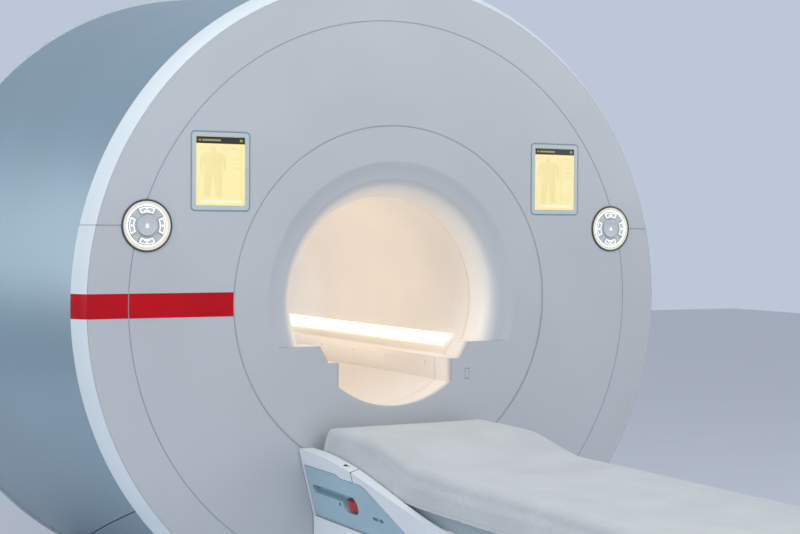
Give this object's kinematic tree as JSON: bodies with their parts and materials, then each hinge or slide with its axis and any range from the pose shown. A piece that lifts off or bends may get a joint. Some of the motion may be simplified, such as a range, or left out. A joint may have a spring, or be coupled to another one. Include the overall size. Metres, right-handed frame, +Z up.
{
  "type": "mri scanner",
  "caption": "Hospital imaging scanner: a round magnet housing with a lit patient bore, displays and control panels on its face, and a height-adjustable patient table with mattress and sheet.",
  "frame": {"origin": "on the floor under the bore axis, half way between the front and rear faces of the gantry, at the centre of the anchor bolt pattern", "axes": "+Y along the bore, from the patient table into the gantry; +X to the right of someone who faces the gantry; +Z up"},
  "size_m": [2.429, 4.2, 2.2845],
  "materials": {
    "frame_steel": "painted steel weldment, satin",
    "vessel": "painted stainless steel vessel, satin",
    "coil_resin": "cast resin over copper windings",
    "bore_cream": "smooth moulded liner, warm white",
    "cold_head_metal": "machined metal",
    "cover_frame": "painted aluminium frame",
    "face_white": "painted moulded cover, satin, cool light grey",
    "rim_white": "painted moulded trim, satin, near white",
    "side_blue": "painted moulded cover, satin metallic blue grey",
    "light_diffuser": "milky light diffuser, lit",
    "stripe_red": "red stripe",
    "display_border": "display border, grey blue",
    "display_glass": "glass over a lit screen",
    "panel_gray": "moulded grey panel with a dark rim",
    "key_gray": "soft-touch key",
    "table_white": "painted moulded table cover, satin",
    "column_steel": "ground steel column",
    "grip_blue_gray": "moulded panel, blue grey",
    "release_red": "translucent red release",
    "tabletop_gray": "fibre composite, grey",
    "mattress_cover": "coated mattress cover",
    "sheet_cloth": "white cotton sheet"
  },
  "bodies": {
    "gantry": {"floor_frame": "frame_steel", "magnet_vessel": "vessel", "gradient_coil": "coil_resin", "body_coil": "coil_resin", "bore_liner": "bore_cream", "cold_head": "cold_head_metal", "front_frame": "cover_frame", "rear_frame": "cover_frame", "upper_ring_cover": "face_white", "lower_ring_cover": "face_white", "face_cover": "face_white", "funnel_cover": "face_white", "rim_trim": "rim_white", "left_side_cover": "side_blue", "right_side_cover": "side_blue", "left_skirt": "side_blue", "right_skirt": "side_blue", "rear_cover": "face_white", "rear_funnel": "face_white", "rear_trim": "rim_white", "left_rail": "bore_cream", "right_rail": "bore_cream", "left_light_strip": "light_diffuser", "right_light_strip": "light_diffuser", "red_stripe": "stripe_red", "left_display_frame": "display_border", "left_display_glass": "display_glass", "right_display_frame": "display_border", "right_display_glass": "display_glass", "left_panel_housing": "panel_gray", "left_panel_light": "light_diffuser", "right_panel_housing": "panel_gray", "right_panel_light": "light_diffuser", "table_base": "frame_steel", "lower_shroud": "table_white"},
    "table_middle": {"middle_shroud": "table_white", "column_middles": "column_steel"},
    "table_deck": {"table_chassis": "cover_frame", "column_rods": "column_steel", "left_table_cover": "table_white", "right_table_cover": "table_white", "nose_cover": "table_white", "foot_cover": "table_white", "left_grip_panel": "grip_blue_gray", "right_grip_panel": "grip_blue_gray"},
    "tabletop": {"tabletop": "tabletop_gray", "mattress": "mattress_cover", "sheet": "sheet_cloth"},
    "left_release": {"left_release": "release_red"},
    "right_release": {"right_release": "release_red"},
    "left_key_top": {"left_panel_key_top": "key_gray"},
    "left_key_outer": {"left_panel_key_outer": "key_gray"},
    "left_key_bottom": {"left_panel_key_bottom": "key_gray"},
    "left_key_inner": {"left_panel_key_inner": "key_gray"},
    "left_knob": {"left_panel_knob": "key_gray"},
    "right_key_top": {"right_panel_key_top": "key_gray"},
    "right_key_outer": {"right_panel_key_outer": "key_gray"},
    "right_key_bottom": {"right_panel_key_bottom": "key_gray"},
    "right_key_inner": {"right_panel_key_inner": "key_gray"},
    "right_knob": {"right_panel_knob": "key_gray"}
  },
  "joints": [
    {"name": "table_lift", "type": "slide", "parent": "gantry", "child": "table_deck", "axis": [0, 0, 1], "range_m": [0, 0.372]},
    {"name": "middle_lift", "type": "slide", "parent": "gantry", "child": "table_middle", "axis": [0, 0, 1], "range_m": [0, 0.186]},
    {"name": "tabletop_slide", "type": "slide", "parent": "table_deck", "child": "tabletop", "axis": [0, 1, 0], "range_m": [0, 0.036]},
    {"name": "left_release_press", "type": "slide", "parent": "table_deck", "child": "left_release", "axis": [0.9708, 0, 0.2398], "range_m": [0, 0.006], "stiffness_N_per_m": 800, "springref_m": -0.002},
    {"name": "right_release_press", "type": "slide", "parent": "table_deck", "child": "right_release", "axis": [-0.9708, 0, 0.2398], "range_m": [0, 0.006], "stiffness_N_per_m": 800, "springref_m": -0.002},
    {"name": "left_key_top_press", "type": "slide", "parent": "gantry", "child": "left_key_top", "axis": [0, 1, 0], "range_m": [0, 0.0015], "stiffness_N_per_m": 1500, "springref_m": -0.001},
    {"name": "left_key_outer_press", "type": "slide", "parent": "gantry", "child": "left_key_outer", "axis": [0, 1, 0], "range_m": [0, 0.0015], "stiffness_N_per_m": 1500, "springref_m": -0.001},
    {"name": "left_key_bottom_press", "type": "slide", "parent": "gantry", "child": "left_key_bottom", "axis": [0, 1, 0], "range_m": [0, 0.0015], "stiffness_N_per_m": 1500, "springref_m": -0.001},
    {"name": "left_key_inner_press", "type": "slide", "parent": "gantry", "child": "left_key_inner", "axis": [0, 1, 0], "range_m": [0, 0.0015], "stiffness_N_per_m": 1500, "springref_m": -0.001},
    {"name": "left_knob_press", "type": "slide", "parent": "gantry", "child": "left_knob", "axis": [0, 1, 0], "range_m": [0, 0.0015], "stiffness_N_per_m": 1500, "springref_m": -0.001},
    {"name": "right_key_top_press", "type": "slide", "parent": "gantry", "child": "right_key_top", "axis": [0, 1, 0], "range_m": [0, 0.0015], "stiffness_N_per_m": 1500, "springref_m": -0.001},
    {"name": "right_key_outer_press", "type": "slide", "parent": "gantry", "child": "right_key_outer", "axis": [0, 1, 0], "range_m": [0, 0.0015], "stiffness_N_per_m": 1500, "springref_m": -0.001},
    {"name": "right_key_bottom_press", "type": "slide", "parent": "gantry", "child": "right_key_bottom", "axis": [0, 1, 0], "range_m": [0, 0.0015], "stiffness_N_per_m": 1500, "springref_m": -0.001},
    {"name": "right_key_inner_press", "type": "slide", "parent": "gantry", "child": "right_key_inner", "axis": [0, 1, 0], "range_m": [0, 0.0015], "stiffness_N_per_m": 1500, "springref_m": -0.001},
    {"name": "right_knob_press", "type": "slide", "parent": "gantry", "child": "right_knob", "axis": [0, 1, 0], "range_m": [0, 0.0015], "stiffness_N_per_m": 1500, "springref_m": -0.001}
  ],
  "couplings": [
    {"joint": "middle_lift", "follows": "table_lift", "ratio": 0.5}
  ]
}
